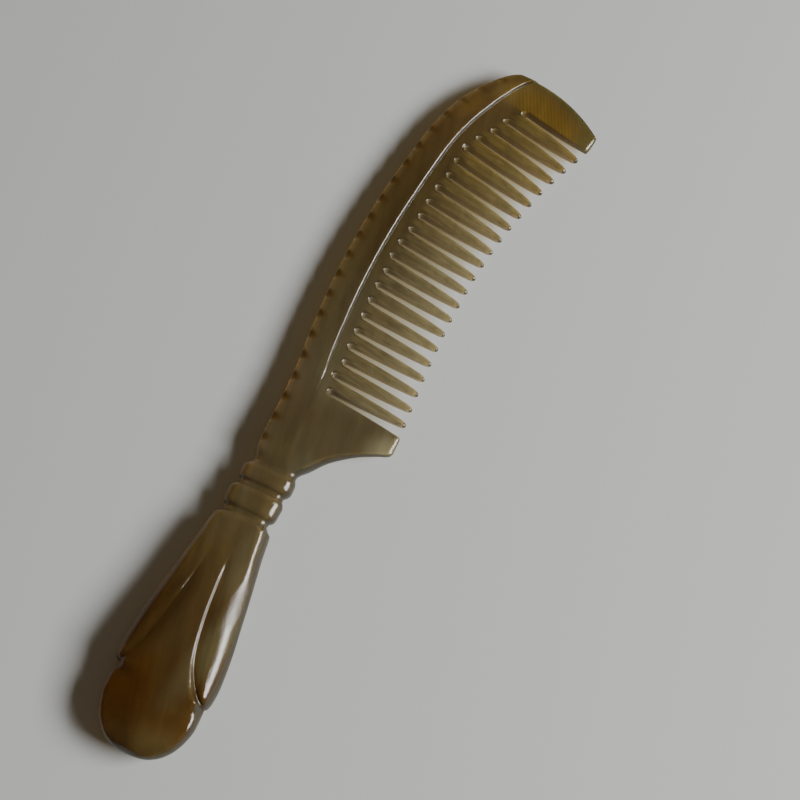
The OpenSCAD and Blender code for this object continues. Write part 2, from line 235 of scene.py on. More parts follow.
# One cell of the row, from the collar line past the slot's foot to the tips
CELL_LONG = 21.0
COLLAR = 0.95
FOOT_HALF = 0.8
FOOT_AT = COLLAR + FOOT_HALF
TOOTH_HALF = 0.875
TIP_LONG = 2.0
GUARD_CORNER = 0.55
TOOTH_BELLY = 0.48
TOOTH_CROWN = 0.05
# Roundings: along the walls, grown before the tip, at a slot's foot, and over a guard's and a
# tooth's end in plan, with the share of the height that is rounded there
LIP, LIP_GROWTH, FOOT_GROWTH = 0.27, 0.25, 1.5
FOOT_ROUND, WALL_ROUND, END_ROUND = 0.33, 0.25, 0.88
GUARD_ROUND = 1.5
TIP_ROUND = 0.85
# How long the foot's unevenness lasts along a slot, and where a tooth's crown rises and falls
WANDER_LONG, CROWN_RISE, CROWN_FALL = 0.6 * CELL_LONG, 0.35 * CELL_LONG, 3
# How far the face reaches in from the outline as a multiple of the rounding
FACE_REACH = 1.55

# Numbers of faces in each part of the half comb's net
PETAL_N, PETAL_INNER_N, DROP_N = 22, 9, 30
BACK_N, BAND_N, PLATE_N = 5, 13, 8
PROFILE_N, FACE_N, LIP_N = 10, 3, 5
COLLAR_N, TOP_N, WALL_N, TIP_N, GUARD_TURN_N = 14, 26, 14, 9, 6
# The handle's rows: least step, growth away from where a form begins, most, and most at the neck
ROW_STEP, ROW_GROWTH, ROW_MOST, ROW_MOST_AT_NECK = 0.05, 0.22, 0.48, 0.24
ROWS_CLOSE_FROM = 58.0

# Numbers that go with the mesh to the horn's material, with what they are where none is set
FAR = 20.0
KEPT = {
    "edge_in": FAR, "edge_top": 0.0, "edge_out": FAR, "gouged": 0.0, "reach": 0.0, "rim": 0.0,
    "high": 0.0,
}
# Corners of a cell: border before or after it, root or tip
CORNERS = {"root_a": (0, 0), "tip_a": (0, 1), "root_b": (1, 0), "tip_b": (1, 1)}


def node(tree, kind, values=None, **settings):
    """Adds a node, sets it up, and links or sets its inputs by name or number."""
    made = tree.nodes.new(kind)
    for name, value in settings.items():
        setattr(made, name, value)
    for name, value in (values or {}).items():
        if isinstance(value, bpy.types.NodeSocket):
            tree.links.new(value, made.inputs[name])
        else:
            made.inputs[name].default_value = value
    return made


def tree_of(*values):
    """The node tree of the first socket among sockets and plain numbers."""
    return next(v.id_data for v in values if isinstance(v, bpy.types.NodeSocket))


def maths(operation, *values):
    """The result of a Math node on sockets and plain numbers."""
    made = node(tree_of(*values), "ShaderNodeMath", dict(enumerate(values)), operation=operation)
    return made.outputs[0]


def times(*values):
    return reduce(partial(maths, "MULTIPLY"), values)


def plus(*values):
    return reduce(partial(maths, "ADD"), values)


def minus(a, b):
    return maths("SUBTRACT", a, b)


def spread(value, low, high, to_low=0.0, to_high=1.0):
    """A value spread evenly, with soft ends, from one range over another."""
    made = node(tree_of(value), "ShaderNodeMapRange", {
        0: value, 1: low, 2: high, 3: to_low, 4: to_high,
    }, interpolation_type="SMOOTHSTEP")
    return made.outputs[0]


def mix(kind, share, a, b, blend="MIX"):
    """The result of a Mix node between two numbers, vectors or colours."""
    k = ("FLOAT", "VECTOR", "RGBA").index(kind)
    made = node(tree_of(share, a, b), "ShaderNodeMix", {0: share, 2 * k + 2: a, 2 * k + 3: b},
                data_type=kind, blend_type=blend)
    return made.outputs[k]


def parts_of(vector):
    made = node(tree_of(vector), "ShaderNodeSeparateXYZ", {0: vector})
    return made.outputs[0], made.outputs[1], made.outputs[2]


def add(name, data):
    """Puts a new object into the scene."""
    piece = bpy.data.objects.new(name, data)
    bpy.context.scene.collection.objects.link(piece)
    return piece


def place_camera():
    back = CAMERA_BACK.normalized()
    up = back.cross(CAMERA_RIGHT.normalized()).normalized()
    right = up.cross(back).normalized()
    data = bpy.data.cameras.new("camera")
    data.lens = CAMERA_LENS
    data.sensor_width = CAMERA_SENSOR
    data.clip_start = 0.01
    camera = add("camera", data)
    turn = Matrix((right, up, back)).transposed()
    camera.matrix_world = Matrix.Translation(CAMERA_AT) @ turn.to_4x4()
    bpy.context.scene.camera = camera


def make_floor():
    material = bpy.data.materials.new("pale floor")
    material.use_nodes = True
    shader = material.node_tree.nodes["Principled BSDF"]
    shader.inputs["Roughness"].default_value = FLOOR_ROUGHNESS
    shader.inputs["Base Color"].default_value = FLOOR_COLOUR
    corners = [(x * FLOOR_HALF, y * FLOOR_HALF, 0) for x, y in ((-1, -1), (1, -1), (1, 1), (-1, 1))]
    mesh = bpy.data.meshes.new("floor")
    mesh.from_pydata(corners, [], [(0, 1, 2, 3)])
    mesh.materials.append(material)
    floor = add("floor", mesh)


def make_light():
    """A soft window beside the teeth, in a dim room."""
    world = bpy.data.worlds.new("room")
    world.use_nodes = True
    tree = world.node_tree
    background = tree.nodes["Background"]
    background.inputs["Color"].default_value = ROOM_COLOUR
    # The room that the polish mirrors is darker than the light that it gives
    path = tree.nodes.new("ShaderNodeLightPath")
    strength = node(tree, "ShaderNodeMapRange", {
        "Value": path.outputs["Is Glossy Ray"], "To Min": ROOM_LIGHT, "To Max": ROOM_MIRRORED,
    })
    tree.links.new(strength.outputs[0], background.inputs["Strength"])
    bpy.context.scene.world = world
    data = bpy.data.lights.new("window", "AREA")
    data.shape = "RECTANGLE"
    data.size = WINDOW_WIDE
    data.size_y = WINDOW_HIGH
    data.energy = WINDOW_POWER
    data.color = WINDOW_COLOUR
    around, down = math.radians(WINDOW_AROUND), math.radians(WINDOW_FROM_TOP)
    level = math.sin(down)
    way = Vector((level * math.cos(around), level * math.sin(around), math.cos(down))).normalized()
    turn = way.to_track_quat("Z", "Y").to_matrix().to_4x4()
    add("window", data).matrix_world = Matrix.Translation(way * WINDOW_AWAY) @ turn


# Curves
def smooth(table, column, at, free=False):
    """A smooth curve through one column of a table whose first column is the place."""
    knots = np.array([row[0] for row in table], float)
    values = np.array([row[column] for row in table], float)
    gaps = np.diff(knots)
    rises = np.diff(values) / gaps
    slopes = np.empty(len(knots))
    slopes[0], slopes[-1] = rises[0], rises[-1]
    before, after = rises[:-1], rises[1:]
    if free:
        slopes[1:-1] = (before * gaps[1:] + after * gaps[:-1]) / (gaps[1:] + gaps[:-1])
    else:
        both = np.where(before * after > 0, before + after, 1)
        slopes[1:-1] = np.where(before * after > 0, 2 * before * after / both, 0)
    at = np.clip(np.asarray(at, float), knots[0], knots[-1])
    i = np.clip(np.searchsorted(knots, at, side="right") - 1, 0, len(gaps) - 1)
    t = (at - knots[i]) / gaps[i]
    return (
        values[i] * (1 + 2 * t) * (1 - t) ** 2
        + values[i + 1] * t * t * (3 - 2 * t)
        + gaps[i] * t * (1 - t) * (slopes[i] * (1 - t) - slopes[i + 1] * t)
    )


def read_off(table, column, at):
    return float(smooth(table, column, at))


def ease(t):
    t = np.clip(t, 0, 1)
    return t * t * (3 - 2 * t)


def between(a, b, share):
    return (1 - share) * a + share * b


def oval(t, squareness):
    """Height of a rounded section at a distance t from its middle, from 1 at 0 to 0 at 1."""
    return np.clip(1 - np.clip(np.abs(t), 0, 1) ** squareness, 0, 1) ** (1 / squareness)


def rounded(away, wide, squareness=2.0):
    """Share of the height at a distance inside an outline that is rounded over a width."""
    return oval(1 - np.clip(away / wide, 0, 1), squareness)


def soft_least(a, b, soft):
    """The lesser of two heights, with the edge between them rounded."""
    t = np.clip(0.5 + 0.5 * (b - a) / soft, 0, 1)
    return b + (a - b) * t - soft * t * (1 - t)


# Handle and neck
def drop_places():
    """Places across the drop from 0 to 1, close together at its edges."""
    t = np.linspace(0, 1, DROP_N + 1)
    return between(t, (1 - np.cos(math.pi * t)) / 2, 0.97)


def petal_places():
    """Places across a petal from its carved line to its outer edge, close together at both."""
    inner = 0.2
    near = inner * np.linspace(0, 1, PETAL_INNER_N + 1) ** 1.3
    t = np.linspace(0, 1, PETAL_N - PETAL_INNER_N + 1)[1:]
    return np.concatenate([near, inner + (1 - inner) * np.sin(t * math.pi / 2) ** 0.9])


DROP_PLACES = drop_places()
PETAL_PLACES = petal_places()


def drop_flank(away, shoulder, round_share):
    """Share of the full height at a distance inside the edge of the drop or the round end. Over a
    carved line it rises straight to a crisp shoulder. At the outline of the round end it has a
    tight edge and then a gentle slope."""
    t = away / shoulder
    straight = np.where(t < FLANK_HOLLOW, t * t / (2 * FLANK_HOLLOW), t - FLANK_HOLLOW / 2)
    straight = soft_least(straight / (1 - FLANK_HOLLOW / 2), np.ones_like(t), FLANK_SOFT)
    slope = 1 - (1 - np.clip(away / LENS_WIDE, 0, 1)) ** LENS_CURVE
    lens = LENS_EDGE * rounded(away, LENS_ROUND) + (1 - LENS_EDGE) * slope
    return between(straight, lens, round_share)


def petal_heights(w, wide, base, crest, rise):
    """Heights of a petal at the distance w from its carved line: a rise to the crest, a slanting
    facet beyond it and a round side."""
    at = PETAL_CREST_AT * wide
    t = np.clip(w / min(rise, 0.95 * at), 0, 1)
    inner = base + (crest - base) * t * (1.5 - 0.5 * t * t)
    u = np.maximum(w - at, 0)
    turn = np.sqrt(u * u + FACET_TURN ** 2) - FACET_TURN
    facet = crest - FACET_SLOPE * turn - FACET_BEND * u * u
    outer = crest * rounded(wide - w, min(PETAL_SIDE, PETAL_SIDE_SHARE * (wide - at)))
    return np.where(w < at, inner, soft_least(facet, outer, PETAL_SOFT))


def handle_heights(y, x, lines, edges):
    """Upper face of the handle between its two carved lines and over the two petals. The lines
    are given as x and height, the petals' edges as x."""
    top = read_off(BULB_ROWS, 3, y)
    lx, rx = lines[0][0], lines[1][0]
    half = max((rx - lx) / 2, 1e-6)
    t = (x - (lx + rx) / 2) / half
    crown = CROWN + CROWN_MORE * float(ease((CROWN_END - y) / CROWN_LONG))
    dome = top - crown * top / BULB_HALF * t * t
    heights = dome.copy()
    for side, (gx, gz), edge in zip(SIDES, lines, edges):
        start = side.edge[0][0]
        off = (x - gx) * side.way
        shoulder = max(min(read_off(BULB_ROWS, side.shoulder, y), SHOULDER_MOST * half), 1e-6)
        round_share = float(1 - ease((y - start + LENS_FADE) / LENS_FADE_LONG))
        flank = gz + (dome - gz) * drop_flank(np.maximum(-off, 0), shoulder, round_share)
        heights = np.where(t * side.way > 0, flank, heights)
        if edge is not None and abs(edge - gx) >= 1e-6:
            crest = read_off(PETAL_CREST, 1, y - start)
            rise = read_off(PETAL_RISE, side.rise, y)
            petal = petal_heights(off, abs(edge - gx), gz, crest, rise)
            heights = np.where(off > 0, petal, heights)
    return heights


def box_heights(t, high, wide):
    """A flat top with a shoulder a little inside the outline and a round side."""
    side = BOX_OVER * rounded((1 - np.abs(t)) * wide, BOX_SIDE)
    return high * soft_least(side, 1 - BOX_FALL * t * t, BOX_SOFT)


def handle_row(y):
    """Points across the upper half of the handle and neck at y, from the back's side to the front."""
    lines, edges = [], []
    for side in SIDES:
        carved = y >= side.edge[0][0]
        table, column = (side.groove, 1) if carved else (BULB_ROWS, side.outline)
        high = read_off(side.groove, 2, y) if carved else 0.0
        lines.append([read_off(table, column, y), high])
        edges.append(read_off(side.edge, 1, y) if carved else None)
    neck = ease((y - NECK_FROM) / NECK_LONG)
    if neck > 0:
        middle = read_off(NECK_ROWS, 1, y)
        wide = RING_HALF_W - GROOVE * read_off(NECK_ROWS, 2, y)
        for k, side in enumerate(SIDES):
            edges[k] = between(edges[k], middle + side.way * wide, neck)
            lines[k][0] = between(lines[k][0], middle + NECK_DROP[k] * wide, neck)
    lx, rx = lines[0][0], lines[1][0]
    left, right = edges
    parts = [lx + (rx - lx) * DROP_PLACES]
    if left is not None:
        parts.insert(0, lx + (left - lx) * PETAL_PLACES[:0:-1])
    if right is not None:
        parts.append(rx + (right - rx) * PETAL_PLACES[1:])
    x = np.concatenate(parts)
    z = handle_heights(y, x, lines, edges)
    plain = ease((y - BOX_FROM) / BOX_LONG)
    if plain > 0:
        high = read_off(BULB_ROWS, 3, y)
        high = between(high, RING_HALF_T - GROOVE * read_off(NECK_ROWS, 3, y), neck)
        wide = (right - left) / 2
        t = (x - (left + right) / 2) / wide
        ringed = ease((y - RING_FROM) / RING_LONG)
        section = between(box_heights(t, high, wide), high * oval(t, RING_SQUARE), ringed)
        z = between(z, section, plain)
    z[0] = z[-1] = 0
    return np.stack([x, np.full_like(x, y), z], axis=1)


def handle_places():
    """Places of the handle's rows: close together where a form begins or turns quickly."""
    starts = [0.0] + [side.edge[0][0] for side in SIDES]
    rows = [0.0]
    while rows[-1] < NECK_END:
        y = rows[-1]
        step = min(ROW_STEP + ROW_GROWTH * abs(y - s) for s in starts)
        following = y + min(step, ROW_MOST if y < ROWS_CLOSE_FROM else ROW_MOST_AT_NECK)
        for s in starts[1:]:
            if y < s - 1e-9 and following > s - 0.03:
                following = s
        rows.append(following)
    return [y for y in rows if y < NECK_END - 0.1] + [NECK_END]


# Blade
def line_values(s):
    """The values of the blade's line number s, which need not be whole, on smooth curves."""
    free = [smooth(LINE_TABLE, k, s, free=True) for k in (1, 2, 3, 4)]
    return free + [smooth(LINE_TABLE, k, s) for k in (5, 6, 7, 8, 9)]


def line_length(s):
    bx, by, fx, fy = line_values(s)[:4]
    return np.hypot(fx - bx, fy - by)


def on_line(s, f):
    """The spot on the blade's line s at the share f of its length."""
    bx, by, fx, fy, bulge = line_values(s)[:5]
    wx, wy = fx - bx, fy - by
    off = bulge * 4 * f * (1 - f) / np.hypot(wx, wy)
    return bx + wx * f - wy * off, by + wy * f + wx * off


def find_line(x, y):
    """The blade's line and the share of its length at a spot."""
    leaning = [row[1] + LINE_LEAN * row[0] for row in BLADE_ROWS]
    s = np.interp(y + LINE_LEAN * x, leaning, range(len(BLADE_ROWS)))
    bx, by, fx, fy = line_values(s)[:4]
    f = ((x - bx) * (fx - bx) + (y - by) * (fy - by)) / ((fx - bx) ** 2 + (fy - by) ** 2)
    ds, df = 1e-3, 1e-4
    for _ in range(8):
        px, py = on_line(s, f)
        sx, sy = on_line(s + ds, f)
        qx, qy = on_line(s, f + df)
        a, b, c, d = (sx - px) / ds, (qx - px) / df, (sy - py) / ds, (qy - py) / df
        det = a * d - b * c
        ex, ey = x - px, y - py
        s = np.clip(s + (d * ex - b * ey) / det, 0, TOP_LINE - 2 * ds)
        f = f + (a * ey - c * ex) / det
    return s, f


def step_narrowing(s):
    """How much narrower and steeper the step is where it begins."""
    return 1 + 0.45 * (1 - ease((s - 8.5) / 4))


def step_down(away):
    """Share of the step's height that is gone at a distance from its upper edge."""
    fine = np.linspace(0, STEP_PLACES[-1], 300)
    slope = np.interp(fine, *zip(*STEP_SLOPES))
    gone = np.concatenate([[0], np.cumsum((slope[1:] + slope[:-1]) / 2)])
    return np.interp(away, fine, gone / gone[-1])


def back_rounding(s, band):
    """Width of the rounding along the back edge, wide at the neck and crisp further up."""
    return band * (0.3 - 0.21 * ease((s - 0.5) / 3))


def blade_height(s, q):
    """Half thickness of the blade on line s at the distance q from the back edge."""
    back_share, tip_share, band, step = line_values(s)[5:]
    back = BAND_HALF * back_share
    foot = back - step * (BAND_HALF - PLATE_HALF)
    high = back + (foot - back) * step_down((q - (band - STEP_BEFORE)) * step_narrowing(s))
    plate = band + STEP_AFTER
    taper = np.clip((q - plate) / (line_length(s) - plate), 0, 1)
    high = high + (TIP_HALF * tip_share - foot) * taper
    return high * rounded(q, back_rounding(s, band), BACK_SQUARE)


def top_rounding(s):
    """Share of the thickness left near the blade's top edge."""
    x0, y0 = on_line(s, 0.5)
    x1, y1 = on_line(TOP_LINE, 0.5)
    return rounded(np.hypot(x1 - x0, y1 - y0), TOP_ROUND, TOP_SQUARE)


def slot_ends(i):
    """Foot and mouth of slot i, on smooth curves, also beyond the first and the last slot."""
    inside = min(max(i, 1), SLOT_N)
    spots = np.array([smooth(SLOT_ROWS, k, inside, free=True) for k in (1, 2, 3, 4)])
    if i != inside:
        near = inside + (1 if i < inside else -1)
        beside = np.array([smooth(SLOT_ROWS, k, near, free=True) for k in (1, 2, 3, 4)])
        spots += (spots - beside) * abs(i - inside)
    return spots[:2], spots[2:]


def cell_border(i):
    """Root and tip, with their half thicknesses, of the line half way between slots i and i + 1."""
    foot_a, mouth_a = slot_ends(i)
    foot_b, mouth_b = slot_ends(i + 1)
    if i == 0:
        foot_a, mouth_a = foot_b - (slot_ends(2)[0] - foot_b), mouth_b - (0, PITCH)
    if i == SLOT_N:
        foot_b, mouth_b = foot_a + (foot_a - slot_ends(SLOT_N - 1)[0]), mouth_a + LAST_PITCH
    foot, tip = (foot_a + foot_b) / 2, (mouth_a + mouth_b) / 2
    root = foot - (tip - foot) / np.linalg.norm(tip - foot) * FOOT_AT
    s, f = find_line(*root)
    root_high = float(blade_height(s, f * line_length(s)))
    s, f = find_line(*tip)
    tip_high = float(TIP_HALF * line_values(s)[6])
    return np.append(root, root_high), np.append(tip, tip_high)


BORDERS = [cell_border(i) for i in range(SLOT_N + 1)]
# How much thicker than a straight wedge the teeth are half way along, at each border
BELLIES = [TOOTH_BELLY * float(ease((i - 5) / 11)) for i in range(SLOT_N + 1)]


def edge_profile():
    """From the face down over the rounded edge to the mid-plane: distance from the outline as a
    share of the rounding, and the shares of the straight wall and of the rounding in the height."""
    rows = [(1 + (FACE_REACH - 1) * (FACE_N - k) / FACE_N, 1, 1) for k in range(FACE_N)]
    turns = [math.pi / 2 * k / LIP_N for k in range(LIP_N + 1)]
    rows += [(1 - math.sin(a), 1, math.cos(a)) for a in turns]
    walls = PROFILE_N - FACE_N - LIP_N
    return np.array(rows + [(0, 1 - k / walls, 0) for k in range(1, walls + 1)])


EDGE_PROFILE = edge_profile()


def border_places(round_plan):
    """Places along a cell's border from its root to the point where the rounded end begins."""
    end = 1 - FACE_REACH * round_plan / CELL_LONG
    foot, tip = FOOT_AT / CELL_LONG, end - 1.1 / CELL_LONG
    return np.concatenate([
        np.linspace(0, foot, 4), np.linspace(foot, tip, 15)[1:], np.linspace(tip, end, 10)[1:],
    ])


def end_heights(highs):
    """Heights on a line whose last points go over the rounded end, from plain half thicknesses."""
    out = np.array(highs)
    _, wall, lip = EDGE_PROFILE.T
    out[-len(wall) :] *= wall * (1 - END_ROUND) + lip * END_ROUND
    return out


def back_places(s, collar_q):
    """Distances from the back edge of the columns up to the collar line."""
    band = float(line_values(s)[7])
    start = float(back_rounding(s, band))
    back = start * (1 - np.cos(np.linspace(0, math.pi / 2, BACK_N + 1)))
    flat = start + (band - STEP_BEFORE - start) * np.linspace(0, 1, BAND_N + 1)[1:] ** 1.6
    step = band - STEP_BEFORE + STEP_PLACES[1:] / float(step_narrowing(s))
    plate = np.linspace(step[-1], collar_q, PLATE_N + 1)[1:]
    return np.concatenate([back, flat, step, plate])


def row_to(root):
    """The row of points from the back edge to a root on the collar line, after the number of its
    line and its length."""
    s, f = find_line(root[0], root[1])
    collar_q = float(f * line_length(s))
    q = back_places(s, collar_q)
    x, y = on_line(s, q / line_length(s))
    row = np.stack([x, y, blade_height(s, q)], axis=1)
    row[-1] = root
    return float(s), collar_q, row


def guard_border(border):
    """The row on the border between a guard and the slot beside it, after the number of its line
    and the length of its part up to the collar line."""
    root, tip = BORDERS[border]
    s, collar_q, back = row_to(root)
    ends = 1 - EDGE_PROFILE[1:, 0] * GUARD_ROUND / CELL_LONG
    along = np.concatenate([border_places(GUARD_ROUND), ends])[:, None]
    front = root + (tip - root) * along
    front[:, 2:] += BELLIES[border] * 4 * along * (1 - along)
    front[:, 2] = end_heights(front[:, 2])
    return s, collar_q, np.concatenate([back, front[1:]])


def neck_shares():
    """Places of the neck's columns as shares of its width, a little past its last row."""
    x = handle_row(74.0)[:, 0]
    return (x - x[0]) / (x[-1] - x[0])


NECK_SHARES = neck_shares()


def plain_row(s, collar_q, fanned):
    """Points of the blade on line s with no slot in it. The columns change from the neck's spacing
    to the blade's as fanned grows from 0 to 1."""
    long = float(line_length(s))
    front = long - collar_q
    q = np.concatenate([
        back_places(s, collar_q)[:-1], (collar_q + front * border_places(GUARD_ROUND))[:-1],
        long - EDGE_PROFILE[:, 0] * GUARD_ROUND * front / CELL_LONG,
    ])
    q = between(NECK_SHARES * long, q, fanned)
    x, y = on_line(s, q / long)
    high = blade_height(s, q)
    plain = high * rounded(long - q, FRONT_ROUND, TOP_SQUARE)
    z = between(plain, end_heights(high), fanned)
    z[0] = z[-1] = 0
    return np.stack([x, y, z], axis=1)


def back_edge_length():
    """Line numbers along the back edge, and the length of the edge up to each."""
    s = np.linspace(0, TOP_LINE, 2000)
    x, y = on_line(s, 0.0)
    return s, np.concatenate([[0], np.cumsum(np.hypot(np.diff(x), np.diff(y)))])


EDGE_S, EDGE_LENGTH = back_edge_length()


def lower_guard():
    """Rows from the neck to the first cell's border, after the numbers of their lines."""
    s_end, q_end, last = guard_border(0)
    heights, ds = [row[1] for row in BLADE_ROWS[:3]], 0.01
    numbers, s = [], float(np.interp(NECK_END, heights, range(3)))
    while s < s_end - 1e-3:
        numbers.append(s)
        lengths = np.interp([s, s + ds], EDGE_S, EDGE_LENGTH)
        s += ds * np.interp(s, *GUARD_ROWS) / (lengths[1] - lengths[0])
    if s_end - numbers[-1] < LEAST_GAP:
        numbers.pop()
    numbers.append(s_end)
    rows = []
    for s in numbers:
        collar_q = min(q_end, COLLAR_MOST * float(line_length(s)))
        rows.append(plain_row(s, collar_q, float(ease((s - FAN_FROM) / FAN_LONG))))
    change = last - rows[-1]
    for k, s in enumerate(numbers):
        rows[k] = rows[k] + change * ease((s - TURN_FROM) / (s_end - TURN_FROM))
        y = np.interp(s, range(3), heights)
        in_blade = float(ease((y - NECK_END) / NECK_JOINT_LONG))
        if in_blade < 1:
            rows[k] = between(handle_row(y), rows[k], in_blade)
    rows[-1] = last
    return numbers, rows


def upper_guard():
    """Rows from the last cell's border to the top edge, after the numbers of their lines."""
    s_start, q_start, first = guard_border(SLOT_N)
    collar_share = q_start / float(line_length(s_start))
    t = np.linspace(0, 1, TOP_N + 1)
    numbers = s_start + (TOP_LINE - s_start) * (1 - (1 - t) ** TOP_CLOSING)
    rows = [plain_row(s, collar_share * float(line_length(s)), 1.0) for s in numbers]
    change = first - rows[0]
    for k, s in enumerate(numbers):
        share = (s - s_start) / (TOP_LINE - s_start)
        rows[k] = rows[k] + change * (1 - ease(share * TOP_LEAVING))
        rows[k][:, 2] *= float(top_rounding(s))
    rows[-1][:, 2] = 0
    return numbers, rows


def band_rows():
    """Rows from the back edge to the collar line between the guards, after their lines' numbers."""
    made = []
    for (root_a, _), (root_b, _) in zip(BORDERS, BORDERS[1:]):
        made += [row_to(root_a + (root_b - root_a) * k / COLLAR_N) for k in range(COLLAR_N)]
    made.append(row_to(BORDERS[-1][0]))
    return [s for s, _, _ in made], [row for _, _, row in made]


# Meshes
def grid_faces(high, wide, start=0):
    """The faces of a net of rows of points."""
    corners = [start + i * wide + j for i in range(high - 1) for j in range(wide - 1)]
    return [(a, a + 1, a + wide + 1, a + wide) for a in corners]


class Net:
    """Collects grids of points into one mesh, with a few numbers for each point."""

    def __init__(self):
        self.points, self.faces = [], []
        self.values = {key: [] for key in ("edge_run", "edge_in", "edge_top", "edge_out")}

    def grid(self, rows, **given):
        high, wide = rows.shape[:2]
        self.faces += grid_faces(high, wide, len(self.points))
        self.points += rows.reshape(-1, 3).tolist()
        for key, values in self.values.items():
            lines = given.get(key, np.full(high, KEPT.get(key, 0.0)))
            values += np.broadcast_to(lines.reshape(high, -1), (high, wide)).ravel().tolist()


def mesh_from(name, points, faces, values):
    mesh = bpy.data.meshes.new(name)
    mesh.from_pydata([tuple(p) for p in points], [], faces)
    for key, given in values.items():
        given = np.asarray(given, np.float32)
        vector = given.ndim == 2
        layer = mesh.attributes.new(key, "FLOAT_VECTOR" if vector else "FLOAT", "POINT")
        layer.data.foreach_set("vector" if vector else "value", given.ravel())
    return mesh


def blank():
    """The half comb apart from its teeth: handle, neck, band and both guards."""
    net = Net()
    drop, left_petal, right_petal = [], [], []
    for y in handle_places():
        row = handle_row(y)
        row = np.column_stack([row, row[:, 0] - row[0, 0]])
        on_left, on_right = (y >= side.edge[0][0] for side in SIDES)
        start = PETAL_N if on_left else 0
        drop.append(row[start : start + DROP_N + 1])
        if on_left:
            left_petal.append(row[: PETAL_N + 1])
        if on_right:
            right_petal.append(row[start + DROP_N :])
    for part in map(np.array, (drop, left_petal, right_petal)):
        net.grid(part[..., :3], edge_in=part[..., 3])
    for numbers, rows in (lower_guard(), band_rows(), upper_guard()):
        rows = np.array(rows)
        given = {
            "edge_run": np.interp(numbers, EDGE_S, EDGE_LENGTH),
            "edge_in": np.linalg.norm((rows - rows[:, :1])[..., :2], axis=2),
            "edge_top": BAND_HALF * line_values(numbers)[5],
        }
        if numbers[-1] > TOP_LINE - 1e-6:
            to_top = np.linalg.norm((rows - rows[-1])[..., :2], axis=2)
            given["edge_out"] = np.minimum(to_top, FAR)
        net.grid(rows, **given)
    return add("blank", mesh_from("blank", net.points, net.faces, net.values))


def half_outline(guard):
    """One side of a slot, from the middle of its foot to the tip of the tooth beside it. Gives for
    each point: place on the border, place on the wall, inward direction, rounding and roundness of
    the end. Along the slot in mm, across in mm from its middle."""
    round_plan, end_long = (GUARD_ROUND, GUARD_CORNER) if guard else (TIP_ROUND, TIP_LONG)
    half_collar, half_pitch = COLLAR_N // 2, PITCH / 2
    mouth = half_pitch - TOOTH_HALF
    border = [(0.0, half_pitch * k / half_collar) for k in range(half_collar)]
    border += [(u, half_pitch) for u in border_places(round_plan) * CELL_LONG]

    def half_slot(u):
        t = np.clip((u - FOOT_AT) / (CELL_LONG - TIP_LONG - FOOT_AT), 0, 1)
        return FOOT_HALF + (mouth - FOOT_HALF) * (0.12 * t + 0.88 * t ** 3)

    wall = []
    arc_n = half_collar + 3
    for k in range(arc_n + 1):
        a = math.pi - math.pi / 2 * k / arc_n
        du, dv = math.cos(a), math.sin(a)
        # The foot's end is rounded off more, where the saw left it
        more = du ** 2
        spot = (FOOT_AT + FOOT_HALF * du, FOOT_HALF * dv)
        wall.append((*spot, du, dv, LIP * (1 + FOOT_GROWTH * more), FOOT_ROUND * more))
    wall_end = CELL_LONG - end_long
    for u in np.linspace(FOOT_AT, wall_end, WALL_N + 1)[1:]:
        grown = float(ease((u - (wall_end - 2)) / 2))
        wall.append((u, half_slot(u), 0.0, 1.0, LIP * (1 + LIP_GROWTH * grown), WALL_ROUND * grown))
    # The corner of the guard, or the whole side of the tooth's tip
    side = half_slot(wall_end)
    across, turn_n = (GUARD_CORNER, GUARD_TURN_N) if guard else (half_pitch - side, TIP_N)
    lip = LIP * (1 + LIP_GROWTH)
    for k in range(1, TIP_N + 1):
        a = math.pi / 2 * min(k / turn_n, 1)
        u, v = wall_end + end_long * math.sin(a), side + across * (1 - math.cos(a))
        v += (half_pitch - v) * max(k - turn_n, 0) / max(TIP_N - turn_n, 1)
        du, dv = -across * math.sin(a), end_long * math.cos(a)
        size = math.hypot(du, dv)
        grown = float(ease(k / TIP_N))
        rounding = between(lip, round_plan, grown)
        wall.append((u, v, du / size, dv / size, rounding, between(WALL_ROUND, 1, grown)))
    return [(*outer, *inner) for outer, inner in zip(border, wall)]


def cell_pattern(name, guard_below, guard_above):
    """The net round one slot, in shares of the cell: x along it, y across it, z up the wall."""
    halves = []
    for side, guard in ((-1, guard_below), (1, guard_above)):
        half = []
        for ou, ov, iu, iv, du, dv, rounding, end in half_outline(guard):
            wander = float(1 - ease((iu - FOOT_AT) / WANDER_LONG))
            # The rounding of a pointed end stays on its own side of the tooth's middle
            dv = min(dv, 0.85 * (PITCH / 2 - iv) / rounding)
            column = []
            for k, (out, wall, lip) in enumerate(EDGE_PROFILE):
                t = min(k / FACE_N, 1)
                if k < FACE_N:
                    u = between(ou, iu + du * rounding, t)
                    v = between(ov, iv + dv * rounding, t)
                else:
                    u, v = iu + du * out * rounding, iv + dv * out * rounding
                crest = 0 if guard else 1 - t * t
                crest *= float(ease(u / CROWN_RISE) * ease((CELL_LONG - u) / CROWN_FALL))
                place = (u / CELL_LONG, v * side / PITCH + 0.5)
                column.append((*place, wall, lip, end, wander * t, crest, min(k / 6, 1)))
            half.append(column)
        halves.append(half)
    below, above = halves
    rows = np.array(below[::-1] + above[1:])
    flat = rows.reshape(-1, rows.shape[2])
    points = flat[:, :3] * (1, 1, 0)
    values = {"cell": flat[:, :3], "shape": flat[:, 3:6], "crest": flat[:, 6], "rim": flat[:, 7]}
    return add(name, mesh_from(name, points, grid_faces(*rows.shape[:2]), values))


